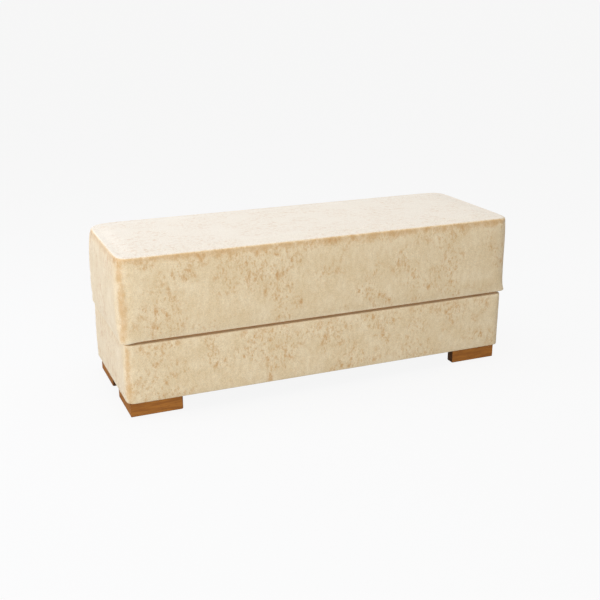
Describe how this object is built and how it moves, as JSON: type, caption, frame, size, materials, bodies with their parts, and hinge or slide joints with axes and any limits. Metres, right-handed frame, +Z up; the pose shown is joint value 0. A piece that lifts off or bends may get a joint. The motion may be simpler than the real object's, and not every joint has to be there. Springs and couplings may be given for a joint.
{
  "type": "storage bench",
  "caption": "Upholstered storage bench: a padded box on low wooden corner feet, with a deep padded box lid hinged along the back and held open by folding stays.",
  "frame": {"origin": "on the floor, under the middle of the bench's outline", "axes": "+X to the right along the length, +Y to the back where the hinges are, +Z up"},
  "size_m": [1.218, 0.4302, 0.4615],
  "materials": {
    "velvet": "cream distressed velvet",
    "foam": "cut polyurethane foam",
    "wadding": "polyester wadding",
    "lining": "plain woven lining",
    "dust_cloth": "black non-woven cloth",
    "plywood": "raw plywood",
    "frame_wood": "raw pine",
    "foot_wood": "satin honey-brown lacquer",
    "felt": "pressed brown felt",
    "hinge_steel": "zinc plated",
    "stay_steel": "zinc plated",
    "screw_steel": "yellow zinc plated",
    "staple_wire": "galvanised"
  },
  "bodies": {
    "base": {"back_left_foot_end_board": "foot_wood", "back_left_foot_long_board": "foot_wood", "back_right_foot_end_board": "foot_wood", "back_right_foot_long_board": "foot_wood", "base_back_panel": "frame_wood", "base_back_wadding": "wadding", "base_bottom_panel": "plywood", "base_corner_blocks": "frame_wood", "base_cover": "velvet", "base_frame_screws": "screw_steel", "base_front_panel": "frame_wood", "base_left_panel": "frame_wood", "base_lining": "lining", "base_right_panel": "frame_wood", "base_side_foam": "foam", "base_staples": "staple_wire", "bottom_panel_screws": "screw_steel", "dust_cover": "dust_cloth", "foot_screws": "screw_steel", "front_left_foot_end_board": "foot_wood", "front_left_foot_long_board": "foot_wood", "front_right_foot_end_board": "foot_wood", "front_right_foot_long_board": "foot_wood", "hinge_base_leaves": "hinge_steel", "hinge_base_screws": "screw_steel", "hinge_pins": "hinge_steel", "rim_strips": "felt", "stay_base_brackets": "stay_steel", "stay_base_rivets": "stay_steel", "stay_base_screws": "screw_steel"},
    "lid": {"hinge_lid_leaves": "hinge_steel", "hinge_lid_screws": "screw_steel", "lid_back_rail": "frame_wood", "lid_back_wadding": "wadding", "lid_corner_blocks": "frame_wood", "lid_cross_rails": "frame_wood", "lid_frame_screws": "screw_steel", "lid_front_rail": "frame_wood", "lid_inner_panel": "plywood", "lid_left_rail": "frame_wood", "lid_lining": "lining", "lid_right_rail": "frame_wood", "lid_seat_board": "plywood", "lid_seat_foam": "foam", "lid_side_cover": "velvet", "lid_side_foam": "foam", "lid_staples": "staple_wire", "lid_top_cover": "velvet", "lid_top_wadding": "wadding", "seat_board_screws": "screw_steel", "stay_lid_brackets": "stay_steel", "stay_lid_rivets": "stay_steel", "stay_lid_screws": "screw_steel"},
    "left_low_arm": {"left_stay_elbow_rivet": "stay_steel", "left_stay_low_arm": "stay_steel"},
    "left_high_arm": {"left_stay_high_arm": "stay_steel"},
    "right_low_arm": {"right_stay_elbow_rivet": "stay_steel", "right_stay_low_arm": "stay_steel"},
    "right_high_arm": {"right_stay_high_arm": "stay_steel"}
  },
  "joints": [
    {"name": "lid_hinge", "type": "hinge", "parent": "base", "child": "lid", "pos_m": [0, 0.2111, 0.222], "axis": [-1, 0, 0], "range_deg": [0, 80]},
    {"name": "left_stay_low_pivot", "type": "hinge", "parent": "base", "child": "left_low_arm", "pos_m": [-0.564, 0.1361, 0.107], "axis": [-1, 0, 0], "range_deg": [0, 80]},
    {"name": "left_stay_elbow", "type": "hinge", "parent": "left_low_arm", "child": "left_high_arm", "pos_m": [-0.5625, 0.0009, 0.1308], "axis": [-1, 0, 0], "range_deg": [-80, 0]},
    {"name": "right_stay_low_pivot", "type": "hinge", "parent": "base", "child": "right_low_arm", "pos_m": [0.564, 0.1361, 0.107], "axis": [-1, 0, 0], "range_deg": [0, 80]},
    {"name": "right_stay_elbow", "type": "hinge", "parent": "right_low_arm", "child": "right_high_arm", "pos_m": [0.5625, 0.0009, 0.1308], "axis": [-1, 0, 0], "range_deg": [-80, 0]}
  ],
  "couplings": [
    {"joint": "left_stay_low_pivot", "follows": "lid_hinge", "ratio": 1},
    {"joint": "left_stay_elbow", "follows": "lid_hinge", "ratio": -1},
    {"joint": "right_stay_low_pivot", "follows": "lid_hinge", "ratio": 1},
    {"joint": "right_stay_elbow", "follows": "lid_hinge", "ratio": -1}
  ]
}
